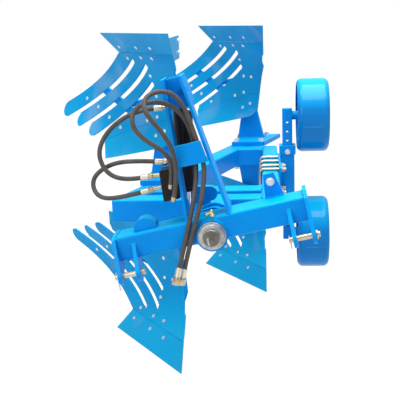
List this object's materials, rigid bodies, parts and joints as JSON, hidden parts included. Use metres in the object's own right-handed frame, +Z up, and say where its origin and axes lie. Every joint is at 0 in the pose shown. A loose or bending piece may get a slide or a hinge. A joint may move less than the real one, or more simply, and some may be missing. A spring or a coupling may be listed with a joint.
{
  "type": "reversible plough",
  "caption": "Tractor-mounted turnover plough with slatted moldboards above and below a box-section frame, gauge wheels on a column and a leaning three-point headstock.",
  "frame": {"origin": "on the ground below the middle of the bounding box", "axes": "+Z up, +Y from the headstock towards the rear bodies (the plough is pulled towards -Y), +X towards the gauge wheels"},
  "size_m": [1.3943, 2.467, 1.5],
  "materials": {
    "blue_paint": "gloss",
    "moldboard_paint": "gloss",
    "zinc_plate": "satin",
    "bare_steel": "satin",
    "chromed_rod": "polished",
    "hose_rubber": "matte",
    "black_paint": "semi-gloss"
  },
  "bodies": {
    "headstock": {"crossbeam": "blue_paint", "hub_sleeve": "blue_paint", "clevis_left": "blue_paint", "clevis_right": "blue_paint", "hitch_pins": "zinc_plate", "mast_plate_left": "blue_paint", "mast_plate_right": "blue_paint", "mast_lugs": "blue_paint", "mast_cross_plate": "blue_paint", "cylinder_top_pin": "zinc_plate", "stops": "blue_paint", "valve_block": "black_paint", "hose_left_upper": "hose_rubber", "hose_left_lower": "hose_rubber", "hose_feed_right": "hose_rubber", "hose_feed_left": "hose_rubber", "hose_ports": "zinc_plate", "hose_couplers": "zinc_plate"},
    "frame": {"turnover_shaft": "bare_steel", "shaft_nut": "bare_steel", "crank": "blue_paint", "hub_block": "blue_paint", "stop_arm": "blue_paint", "beam_front": "blue_paint", "beam_middle": "blue_paint", "beam_rear": "blue_paint", "beam_side": "blue_paint", "beam_oblique": "blue_paint", "wheel_bracket": "blue_paint", "u_bolts": "zinc_plate", "wheel_leg_lower": "blue_paint", "wheel_leg_upper": "blue_paint", "shank_front_lower": "blue_paint", "shank_front_upper": "blue_paint", "shank_rear_lower": "blue_paint", "shank_rear_upper": "blue_paint", "share_front_lower": "moldboard_paint", "share_front_upper": "moldboard_paint", "share_rear_lower": "moldboard_paint", "share_rear_upper": "moldboard_paint", "moldboard_front_lower": "moldboard_paint", "moldboard_front_upper": "moldboard_paint", "moldboard_rear_lower": "moldboard_paint", "moldboard_rear_upper": "moldboard_paint", "upper_strip_front_lower": "moldboard_paint", "upper_strip_front_upper": "moldboard_paint", "upper_strip_rear_lower": "moldboard_paint", "upper_strip_rear_upper": "moldboard_paint", "frog_front_lower": "blue_paint", "frog_front_upper": "blue_paint", "frog_rear_lower": "blue_paint", "frog_rear_upper": "blue_paint"},
    "barrel": {"cylinder_barrel": "black_paint"},
    "rod": {"cylinder_rod": "chromed_rod"},
    "wheel_lower": {"wheel_lower": "blue_paint"},
    "wheel_upper": {"wheel_upper": "blue_paint"}
  },
  "joints": [
    {"name": "turnover", "type": "hinge", "parent": "headstock", "child": "frame", "pos_m": [0.17616, -1.08867, 0.75], "axis": [0, 1, 0], "range_deg": [0, 155.8]},
    {"name": "barrel_swing", "type": "hinge", "parent": "headstock", "child": "barrel", "pos_m": [0.06191, -0.98867, 1.28289], "axis": [0, -1, 0], "range_deg": [0, 22.21]},
    {"name": "rod_slide", "type": "slide", "parent": "barrel", "child": "rod", "axis": [0.0173, 0, -0.9998], "range_m": [-0.093, 0]},
    {"name": "wheel_lower_spin", "type": "hinge", "parent": "frame", "child": "wheel_lower", "pos_m": [0.61616, -0.01367, 0.445], "axis": [1, 0, 0], "continuous": true},
    {"name": "wheel_upper_spin", "type": "hinge", "parent": "frame", "child": "wheel_upper", "pos_m": [0.61616, -0.01367, 1.055], "axis": [1, 0, 0], "continuous": true}
  ],
  "couplings": [
    {"joint": "barrel_swing", "follows": "turnover", "ratio": 0.14256}
  ]
}
